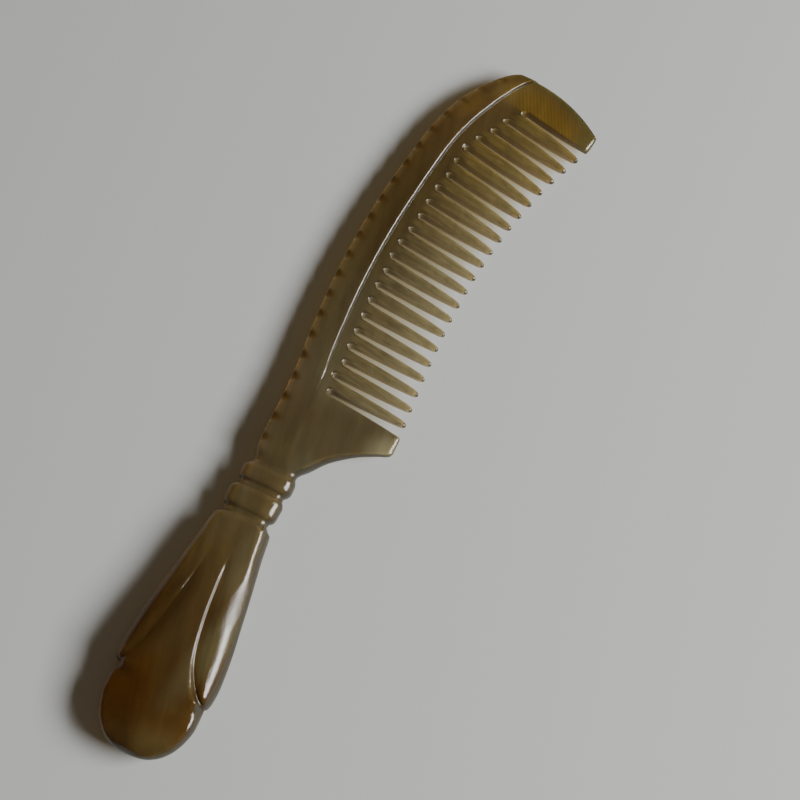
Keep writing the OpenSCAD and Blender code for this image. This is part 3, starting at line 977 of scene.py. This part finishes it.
# Node trees for what repeats
def new_tree(name, inputs):
    """A tree with named inputs: numbers with their values, other inputs with their kind."""
    tree = bpy.data.node_groups.new(name, "GeometryNodeTree")
    tree.is_modifier = True
    tree.interface.new_socket("Geometry", in_out="OUTPUT", socket_type="NodeSocketGeometry")
    tree.interface.new_socket("Geometry", in_out="INPUT", socket_type="NodeSocketGeometry")
    kinds = {int: "NodeSocketInt", float: "NodeSocketFloat"}
    for label, value in inputs.items():
        kind = kinds.get(type(value), value)
        socket = tree.interface.new_socket(label, in_out="INPUT", socket_type=kind)
        if kind != value:
            socket.default_value = value
    return tree, tree.nodes.new("NodeGroupInput").outputs


def end_tree(tree, given, geometry):
    """Makes the copies real, gives them the horn and ends the tree."""
    real = node(tree, "GeometryNodeRealizeInstances", {"Geometry": geometry})
    painted = node(tree, "GeometryNodeSetMaterial", {
        "Geometry": real.outputs[0], "Material": given["Horn"],
    })
    tree.links.new(painted.outputs[0], tree.nodes.new("NodeGroupOutput").inputs["Geometry"])
    return tree


def apply_tree(piece, tree, values):
    """Runs a node tree on a piece and gives the result as a plain mesh."""
    modifier = piece.modifiers.new(tree.name, "NODES")
    modifier.node_group = tree
    for item in tree.interface.items_tree:
        if item.item_type == "SOCKET" and item.in_out == "INPUT" and item.name in values:
            modifier[item.identifier] = values[item.name]
    bpy.context.view_layer.update()
    seen = piece.evaluated_get(bpy.context.evaluated_depsgraph_get())
    mesh = bpy.data.meshes.new_from_object(seen)
    piece.modifiers.remove(modifier)
    return mesh


def named(tree, name, kind="FLOAT"):
    return node(tree, "GeometryNodeInputNamedAttribute", {"Name": name}, data_type=kind).outputs[0]


def stored(geometry, name, value, near=True):
    """Geometry with one more number kept at its points."""
    made = node(geometry.id_data, "GeometryNodeStoreNamedAttribute", {
        "Geometry": geometry, "Selection": near, "Name": name, "Value": value,
    }, data_type="FLOAT", domain="POINT")
    return made.outputs[0]


def moved(geometry, x, y, z, near=True):
    """Geometry with its points moved to another place."""
    tree = geometry.id_data
    place = node(tree, "ShaderNodeCombineXYZ", {0: x, 1: y, 2: z}).outputs[0]
    made = node(tree, "GeometryNodeSetPosition", {
        "Geometry": geometry, "Selection": near, "Position": place,
    })
    return made.outputs[0]


def tooth_row_tree():
    """Puts the cell pattern round every slot and bends it to the slot's own corners."""
    tree, given = new_tree("tooth row", {
        "Cell pattern": "NodeSocketObject", "Edge rounding": LIP, "End rounding": END_ROUND,
        "Crown": TOOTH_CROWN, "Horn": "NodeSocketMaterial",
    })
    pattern = node(tree, "GeometryNodeObjectInfo", {"Object": given["Cell pattern"]})
    cells = node(tree, "GeometryNodeInstanceOnPoints", {
        "Points": given["Geometry"], "Instance": pattern.outputs["Geometry"],
    })
    real = node(tree, "GeometryNodeRealizeInstances", {"Geometry": cells.outputs[0]}).outputs[0]
    reach, across, wall = parts_of(named(tree, "cell", "FLOAT_VECTOR"))
    lip, end, wandering = parts_of(named(tree, "shape", "FLOAT_VECTOR"))
    along = plus(reach, times(named(tree, "wander"), wandering))
    root_a, tip_a, root_b, tip_b = (named(tree, key, "FLOAT_VECTOR") for key in CORNERS)
    lower, upper = mix("VECTOR", along, root_a, tip_a), mix("VECTOR", along, root_b, tip_b)
    x, y, high = parts_of(mix("VECTOR", across, lower, upper))
    belly = mix("FLOAT", across, named(tree, "belly_a"), named(tree, "belly_b"))
    high = plus(high, times(along, minus(1.0, along), 4.0, belly))
    rounding = mix("FLOAT", end, given["Edge rounding"], times(high, given["End rounding"]))
    crown = times(named(tree, "crest"), given["Crown"])
    z = plus(times(minus(high, rounding), wall), times(rounding, lip), crown)
    bent = stored(moved(real, x, y, z), "reach", reach)
    return end_tree(tree, given, stored(bent, "high", high))


def notch_tree():
    """Cuts small gouges at even distances into the back edge, down to a slope at the outside."""
    tree, given = new_tree("back notches", {
        "Number": 21, "First": 6.4, "Spacing": 5.55, "Gouge radius": 1.7, "Depth": 0.85,
        "Length": 2.7, "Softness": 0.12, "Horn": "NodeSocketMaterial",
    })
    run, inside, top = (named(tree, key) for key in ("edge_run", "edge_in", "edge_top"))
    t = maths("DIVIDE", minus(run, given["First"]), given["Spacing"])
    last = minus(given["Number"], 1.0)
    nearest = maths("MINIMUM", maths("MAXIMUM", maths("ROUND", t), 0.0), last)
    away = times(minus(t, nearest), given["Spacing"])
    radius = given["Gouge radius"]
    left = minus(times(radius, radius), times(away, away))
    rise = minus(radius, maths("SQRT", maths("MAXIMUM", left, 0.0)))
    beyond = times(maths("LESS_THAN", left, 0.0), 50.0)
    # The last gouges before the top are shallower
    deep = times(given["Depth"], spread(run, 84.0, 113.0, 1.0, 0.55))
    lack = times(minus(1.0, maths("DIVIDE", inside, given["Length"])), deep)
    cut = plus(minus(top, lack), rise, beyond)
    x, y, z = parts_of(node(tree, "GeometryNodeInputPosition").outputs[0])
    soft = maths("SMOOTH_MIN", z, cut, given["Softness"])
    low = maths("MAXIMUM", times(z, 0.12), soft)
    near = times(maths("GREATER_THAN", top, 0.1), maths("LESS_THAN", inside, 4.0))
    kept = stored(given["Geometry"], "gouged", minus(z, low), near)
    return end_tree(tree, given, moved(kept, x, y, low, near))


def teeth(horn):
    """The nets round all 22 slots, which make the 21 teeth and the slotted sides of the guards."""
    tree = tooth_row_tree()
    last = SLOT_N - 1
    kinds = (
        ("first cell", True, False, [0]), ("cell", False, False, range(1, last)),
        ("last cell", False, True, [last]),
    )
    made = []
    for name, below, above, slots in kinds:
        pattern = cell_pattern(name + " pattern", below, above)
        values = {
            key: [BORDERS[i + after][end] for i in slots] for key, (after, end) in CORNERS.items()
        }
        values["wander"] = [FOOT_WANDER[i] / CELL_LONG for i in slots]
        values["belly_a"] = [BELLIES[i] for i in slots]
        values["belly_b"] = [BELLIES[i + 1] for i in slots]
        marks = add(name, mesh_from(name, values["root_a"], [], values))
        made.append(apply_tree(marks, tree, {"Cell pattern": pattern, "Horn": horn}))
        for piece in (pattern, marks):
            bpy.data.objects.remove(piece)
    return made


# The whole comb
def lie_down(points):
    """From the carving frame in mm to the part's own frame in metres, lying on the round end and
    on the band near the top."""
    turn = math.asin((BULB_HALF - BAND_SHARE * BAND_HALF) / (HIGH_AT - LOW_AT))
    up = BULB_HALF * math.cos(turn) + LOW_AT * math.sin(turn)
    x, y, z = points.T
    out = np.stack([
        x - CENTRE[0],
        y * math.cos(turn) + z * math.sin(turn) - CENTRE[1],
        -y * math.sin(turn) + z * math.cos(turn) + up,
    ], axis=1)
    return out * MM


def add_light_values(mesh, places):
    """How thick the horn is for the light at each point, where its steep sides towards the window
    look dark, and where it faces away from the window."""
    def read(name):
        values = np.empty(len(mesh.vertices), np.float32)
        mesh.attributes[name].data.foreach_get("value", values)
        return values

    def write(name, values):
        layer = mesh.attributes.new(name, "FLOAT", "POINT")
        layer.data.foreach_set("value", values.astype(np.float32))

    y, z = places[:, 1], np.abs(places[:, 2])
    edge_top, reach = read("edge_top"), read("reach")
    at_back = (edge_top > 0) & (read("edge_in") < 1.2)
    thick = np.where(at_back, np.maximum(z, 0.85 * edge_top), z)
    thick = np.maximum(thick, 0.8 * read("high"))
    write("thick", np.where(y < 74, np.maximum(thick, 2.7), thick))
    normals = np.empty(len(mesh.vertices) * 3, np.float32)
    mesh.vertex_normals.foreach_get("vector", normals)
    nx, ny, nz = normals.reshape(-1, 3).T
    on_tooth = (read("rim") > 0) | (reach > 0)
    steep = ease((1 - np.abs(nz) - 0.2) / 0.27)
    across = np.where(on_tooth, 0, 0.8 * ease((np.abs(ny) - 0.5) / 0.35))
    dark = steep * np.maximum(ease((nx - 0.2) / 0.5), across)
    at_foot = (reach > 0) & (reach < 0.3)
    write("dark_side", np.where(at_foot, 0.35 * dark, dark))
    write("turned_away", np.where(on_tooth, 0, ease((-nx - 0.1) / 0.6)))


def make_comb(horn):
    halves = [apply_tree(blank(), notch_tree(), {"Horn": horn})] + teeth(horn)
    bpy.data.objects.remove(bpy.data.objects["blank"])
    net = bmesh.new()
    for mesh in halves:
        for key, plain in KEPT.items():
            if key not in mesh.attributes:
                layer = mesh.attributes.new(key, "FLOAT", "POINT")
                layer.data.foreach_set("value", np.full(len(mesh.vertices), plain, np.float32))
        for key in [a.name for a in mesh.attributes if a.data_type in ("FLOAT", "FLOAT_VECTOR")]:
            if key not in KEPT and key != "position":
                mesh.attributes.remove(mesh.attributes[key])
        net.from_mesh(mesh)
    # The lower half is the upper one's mirror image
    copy = bmesh.ops.duplicate(net, geom=net.verts[:] + net.edges[:] + net.faces[:])["geom"]
    for v in copy:
        if isinstance(v, bmesh.types.BMVert):
            v.co.z = -v.co.z
    bmesh.ops.reverse_faces(net, faces=[g for g in copy if isinstance(g, bmesh.types.BMFace)])
    bmesh.ops.remove_doubles(net, verts=net.verts[:], dist=0.006)
    bmesh.ops.dissolve_degenerate(net, dist=0.001, edges=net.edges[:])
    bmesh.ops.recalc_face_normals(net, faces=net.faces[:])
    mesh = bpy.data.meshes.new("comb_horn")
    net.to_mesh(mesh)
    net.free()
    places = np.empty(len(mesh.vertices) * 3, np.float32)
    mesh.vertices.foreach_get("co", places)
    places = places.reshape(-1, 3).astype(float)
    add_light_values(mesh, places)
    mesh.vertices.foreach_set("co", lie_down(places).astype(np.float32).ravel())
    mesh.polygons.foreach_set("use_smooth", np.ones(len(mesh.polygons), bool))
    mesh.materials.clear()
    mesh.materials.append(horn)
    mesh.update()
    comb = add("comb_horn", mesh)
    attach(comb, "root")
    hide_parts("comb")


# Horn
# Colour of the horn along the comb: share of the length, colour
ALONG = [
    (0.0, (0.095, 0.045, 0.008)), (0.09, (0.09, 0.051, 0.0125)), (0.17, (0.095, 0.057, 0.0175)),
    (0.25, (0.118, 0.077, 0.025)), (0.31, (0.128, 0.094, 0.04)), (0.4, (0.106, 0.08, 0.034)),
    (0.46, (0.104, 0.075, 0.034)), (0.51, (0.12, 0.1, 0.052)), (0.61, (0.12, 0.095, 0.046)),
    (0.71, (0.105, 0.078, 0.029)), (0.82, (0.094, 0.065, 0.022)), (0.91, (0.115, 0.074, 0.025)),
]
# Colour along the raised back band, which is warmer towards the top
SPINE = [
    (0.42, (0.112, 0.08, 0.038)), (0.51, (0.142, 0.102, 0.05)), (0.61, (0.114, 0.081, 0.029)),
    (0.71, (0.1, 0.067, 0.021)), (0.82, (0.102, 0.061, 0.0165)), (0.92, (0.107, 0.062, 0.0185)),
]
# Clouds of another colour: middle, half sizes, turn in degrees, colour, strength
CLOUDS = [
    ((-7, 14.5), (9, 13.5), 15, (0.086, 0.034, 0.0042), 0.95),
    ((-5, 2.5), (6, 4.5), 0, (0.112, 0.06, 0.017), 0.7),
    ((-7.5, 30), (6, 22), -12, (0.064, 0.032, 0.0072), 0.9),
    ((6, 3), (10, 8), 0, (0.112, 0.078, 0.026), 0.75),
    ((8, 31), (5.5, 24), -14, (0.13, 0.106, 0.046), 0.85),
    ((5, 51), (5, 15), -6, (0.152, 0.122, 0.058), 0.85),
    ((10, 84), (13, 9), 0, (0.115, 0.09, 0.043), 0.8),
    # This pale cloud at the lower guard's thin free end is partly painted light: light through the thin
    # horn and the reflection on it
    ((25, 87), (10.5, 8), 0, (0.3, 0.27, 0.155), 0.85),
    ((7, 76), (5, 6), 0, (0.128, 0.108, 0.06), 0.8),
    ((-4.5, 73), (4.5, 17), 6, (0.15, 0.112, 0.058), 0.8),
    ((1.5, 178), (5, 10), -35, (0.225, 0.142, 0.034), 0.85),
    ((8.5, 187.5), (9, 7), -30, (0.24, 0.175, 0.055), 0.95),
]
# Light that passes one face of the horn, by the half thickness there as a share of 5 mm
LIGHT_PASSED = [
    (0.0, (0.95, 0.93, 0.88)), (0.14, (0.88, 0.85, 0.77)), (0.26, (0.7, 0.64, 0.5)),
    (0.36, (0.45, 0.38, 0.24)), (0.46, (0.3, 0.23, 0.08)), (0.6, (0.24, 0.18, 0.05)),
    (1.0, (0.21, 0.15, 0.04)),
]
POLISH = {
    "IOR": 1.55, "Coat Weight": 0.06, "Coat Roughness": 0.04, "Subsurface Weight": 0.9,
    "Subsurface Radius": (1.0, 0.85, 0.6), "Subsurface Scale": 0.004,
}
# Numbers on the mesh that the horn reads
READ = ("edge_in", "edge_out", "gouged", "reach", "rim", "thick", "dark_side", "turned_away")


def mixed(share, a, b, blend="MIX"):
    """A mix of two colours, each a socket or three numbers."""
    a, b = (c if isinstance(c, bpy.types.NodeSocket) else (*c, 1) for c in (a, b))
    return mix("RGBA", share, a, b, blend)


def tinted(colour, tint):
    return mixed(1.0, colour, tint, "MULTIPLY")


def toned(colour, tone):
    """A colour made darker or lighter by a factor."""
    grey = node(tree_of(tone), "ShaderNodeCombineColor", dict.fromkeys(range(3), tone))
    return tinted(colour, grey.outputs[0])


def colours_along(value, stops, interpolation="EASE"):
    made = node(tree_of(value), "ShaderNodeValToRGB", {0: value})
    ramp = made.color_ramp
    ramp.interpolation = interpolation
    for k, (at, colour) in enumerate(stops):
        stop = ramp.elements[k] if k < 2 else ramp.elements.new(at)
        stop.position = at
        stop.color = (*colour, 1)
    return made.outputs[0]


def noise(place, scale, detail=2.0, rough=0.5, stretch=(1, 1, 1), turn=0.0, warp=0.0):
    """Noise on the carving frame, with features of about 1 / scale mm, stretched and turned."""
    tree = tree_of(place)
    laid = node(tree, "ShaderNodeMapping", {
        "Vector": place, "Rotation": (0, 0, math.radians(turn)), "Scale": stretch,
    }, vector_type="TEXTURE")
    made = node(tree, "ShaderNodeTexNoise", {
        "Vector": laid.outputs[0], "Scale": scale, "Detail": detail, "Roughness": rough,
        "Distortion": warp,
    })
    return made.outputs[0]


def soft_spot(place, centre, size, turn=0.0):
    """1 in the middle of an oval of the given half sizes and 0 outside it, with a wide soft edge."""
    tree = tree_of(place)
    laid = node(tree, "ShaderNodeMapping", {
        "Vector": place, "Location": (*centre, 0), "Rotation": (0, 0, math.radians(turn)),
        "Scale": (*size, 1000),
    }, vector_type="TEXTURE")
    away = node(tree, "ShaderNodeVectorMath", {0: laid.outputs[0]}, operation="LENGTH")
    return spread(away.outputs["Value"], 0.25, 1.0, 1.0, 0.0)


def beyond_slot(place, lean, start):
    """1 on the far side of a line across the blade, which leans and starts at a height on the y axis."""
    turned = node(tree_of(place), "ShaderNodeVectorMath", {0: place, 1: (lean, 1, 0)},
                  operation="DOT_PRODUCT")
    return spread(turned.outputs["Value"], start - 0.3, start + 0.3)


def golden_guard(spot, colour):
    """The thin upper guard: golden with fine streaks, olive along the top edge and at its end, with
    painted shade as a dark line right at the top edge.
    """
    place, edge_out = spot["place"], spot["edge_out"]
    here = beyond_slot(place, 0.216, 184.55)
    laid = node(tree_of(place), "ShaderNodeMapping", {
        "Vector": place, "Rotation": (0, 0, math.radians(-25.4)),
    })
    waves = node(tree_of(place), "ShaderNodeTexWave", {
        "Vector": laid.outputs[0], "Scale": 0.37, "Distortion": 2.6, "Detail": 2.0,
        "Detail Scale": 0.25,
    }).outputs[1]
    streaked = mixed(spread(waves, 0.2, 0.9), (0.168, 0.1, 0.017), (0.208, 0.132, 0.026))
    gold = times(soft_spot(place, (22, 181), (18, 8.5), -24), here, 0.95)
    colour = mixed(gold, colour, streaked)
    end = times(soft_spot(place, (33.5, 179.5), (6, 6)), here, 0.8)
    olive = maths("MAXIMUM", end, times(spread(edge_out, 2.6, 1.3), 0.9))
    colour = mixed(olive, colour, (0.115, 0.098, 0.03))
    # Painted shade: a dark line right along the top edge
    return mixed(times(spread(edge_out, 0.6, 0.3), 0.85), colour, (0.02, 0.016, 0.006))


def tooth_colour_and_painted_light(spot, colour):
    """The teeth, yellower at the top. Their paler tips are painted light that passes through the thin
    horn, their paler walls are painted light that passes through the tooth and bounces up from the
    floor, and their dark slot feet and tip ends are painted shade.
    """
    reach, rim = spot["reach"], spot["rim"]
    upper = spread(spot["height"], 125.0, 175.0)
    # Painted light: the teeth grow paler towards their thin tips, where light passes through them
    root = mixed(upper, (0.138, 0.108, 0.05), (0.155, 0.11, 0.032))
    tip = mixed(upper, (0.25, 0.215, 0.112), (0.205, 0.158, 0.06))
    grain = noise(spot["place"], 1.5, 4, 0.65, (9, 1, 1), -7)
    tooth = toned(mixed(spread(reach, 0.12, 0.95), root, tip), spread(grain, 0.3, 0.7, 0.78, 1.2))
    colour = mixed(spread(reach, 0.0, 0.1), colour, tooth)
    # Painted light: the sawn walls are paler, as light passes through the tooth and bounces up from the
    # floor
    wall = mixed(upper, (0.4, 0.345, 0.21), (0.38, 0.3, 0.135))
    walls = times(spread(rim, 0.75, 1.0), spread(reach, 0.09, 0.2, 0.45, 0.85))
    colour = mixed(walls, colour, wall)
    # Painted shade: darker round the feet of the slots, in the recess between the teeth
    foot = times(spread(rim, 0.3, 0.5), spread(rim, 1.0, 0.85), spread(reach, 0.16, 0.09), 0.9)
    colour = mixed(foot, colour, (0.07, 0.055, 0.026))
    # Painted shade: a dark rim at the ends of the teeth
    return mixed(times(spread(reach, 0.958, 0.98), 0.88), colour, (0.03, 0.024, 0.01))


def horn_colour(spot):
    place, height, inset = spot["place"], spot["height"], spot["edge_in"]
    along = maths("DIVIDE", height, LENGTH)
    colour = colours_along(along, ALONG)
    for centre, size, turn, tint, strength in CLOUDS:
        colour = mixed(times(soft_spot(place, centre, size, turn), strength), colour, tint)
    near_back = minus(1.0, maths("GREATER_THAN", spot["reach"], 0.0001))
    blade = times(spread(height, 76.0, 92.0), near_back)
    spine = times(spread(inset, 7.6, 1.0), blade, 0.8)
    colour = mixed(spine, colour, colours_along(along, SPINE))
    # A darker layer along the band's step
    layer = times(spread(inset, 3.2, 5.6), spread(inset, 8.2, 7.2), near_back)
    layer = times(layer, spread(height, 96.0, 126.0), spread(height, 166.0, 140.0))
    colour = mixed(layer, colour, tinted(colour, (0.78, 0.72, 0.66)))
    border = times(spread(inset, 2.0, 0.6), blade, 0.6)
    colour = mixed(border, colour, (0.2, 0.135, 0.055))
    # The teeth, from the lower guard's upper side on, and the upper guard
    colour = mixed(beyond_slot(place, 0.0722, 95.62), colour, tooth_colour_and_painted_light(spot, colour))
    colour = golden_guard(spot, colour)
    # The notches are cut into lighter, orange-brown layers
    cut = spread(spot["gouged"], 0.0, 0.5)
    cut_share = times(cut, spread(height, 154.0, 182.0, 0.8, 0.45))
    colour = mixed(cut_share, colour, (0.17, 0.088, 0.016))
    # Growth layers
    colour = toned(colour, spread(spot["broad"], 0.28, 0.72, 0.88, 1.12))
    red = times(spread(spot["cloudy"], 0.45, 0.8), 0.2)
    colour = mixed(red, colour, tinted(colour, (1.0, 0.72, 0.45)))
    # Light shines through the thin rim of the back
    edge = times(spread(inset, 0.4, 0.05), near_back)
    colour = mixed(times(edge, 0.65), colour, (0.19, 0.135, 0.085))
    # Light that comes through from the window's side warms the slopes that face away from it
    turned = times(spot["turned_away"], minus(1.0, maths("MAXIMUM", cut, edge)))
    colour = tinted(colour, mixed(turned, (1, 1, 1), (3.5, 3.1, 2.2)))
    # The steep sides towards the window let the light in, and look dark from above
    return mixed(times(spot["dark_side"], 0.9), colour, (0.034, 0.026, 0.01))


def horn_roughness(spot):
    """Fine polishing marks, duller at the sawn walls, on the steep sides and where hands wore it."""
    brushed = spot["brushed"]
    worn = soft_spot(spot["place"], (7.6, 43), (2.6, 14), -14)
    return plus(
        spread(brushed, 0.35, 0.75, 0.045, 0.1), spread(spot["fine"], 0.3, 0.8, 0.0, 0.04),
        times(spread(spot["rim"], 0.9, 1.0), 0.45),
        times(worn, spread(brushed, 0.4, 0.6, 0.0, 0.09)),
        times(spot["dark_side"], 0.3), spread(spot["turned_away"], 0.8, 1.0, 0.0, 0.4),
    )


def horn_bump(spot):
    """The polishing marks, deeper on the right petal, on the slow waves of a hand-held polish."""
    place = spot["place"]
    handled = soft_spot(place, (7.6, 40), (3.2, 17), -14)
    marks = node(tree_of(place), "ShaderNodeBump", {
        "Strength": 0.6, "Distance": spread(handled, 0.0, 1.0, 0.00007, 0.00017),
        "Height": spot["brushed"],
    })
    waves = node(tree_of(place), "ShaderNodeBump", {
        "Strength": 0.7, "Distance": 0.00014, "Height": noise(place, 0.22, 2, 0.5),
        "Normal": marks.outputs[0],
    })
    return waves.outputs[0]


def make_horn():
    """Polished translucent horn. It lets some of the window's light through where it is thin."""
    material = bpy.data.materials.new("polished horn")
    material.use_nodes = True
    tree = material.node_tree
    shader = tree.nodes["Principled BSDF"]
    # Places in mm in the carving frame, long streaks that follow the handle, clouds and marks
    coords = tree.nodes.new("ShaderNodeTexCoord")
    place = node(tree, "ShaderNodeMapping", {
        "Vector": coords.outputs["Object"], "Location": (*CENTRE, 0), "Scale": (1000, 1000, 1000),
    }).outputs[0]
    spot = {key: node(tree, "ShaderNodeAttribute", attribute_name=key).outputs["Fac"] for key in READ}
    spot.update(
        place=place, height=parts_of(place)[1],
        broad=noise(place, 0.32, 4, 0.6, (1, 9, 1), 12, 0.6),
        fine=noise(place, 1.6, 3, 0.6, (1, 14, 1), 8, 0.3),
        cloudy=noise(place, 0.07, 3, 0.55),
        brushed=noise(place, 2.2, 5, 0.7, (1, 5, 1), -30, 0.4),
    )
    tree.links.new(horn_colour(spot), shader.inputs["Base Color"])
    tree.links.new(horn_roughness(spot), shader.inputs["Roughness"])
    tree.links.new(horn_bump(spot), shader.inputs["Normal"])
    for name, value in POLISH.items():
        shader.inputs[name].default_value = value
    # The window's light passes into the shadow, more of it where the horn is thin
    passed = colours_along(maths("DIVIDE", spot["thick"], 5.0), LIGHT_PASSED, "LINEAR")
    clear = node(tree, "ShaderNodeBsdfTransparent", {"Color": passed})
    path = tree.nodes.new("ShaderNodeLightPath")
    both = node(tree, "ShaderNodeMixShader", {
        0: path.outputs["Is Shadow Ray"], 1: shader.outputs[0], 2: clear.outputs[0],
    })
    tree.links.new(both.outputs[0], tree.nodes["Material Output"].inputs["Surface"])
    return material


place_camera()
make_light()
make_floor()
make_comb(make_horn())
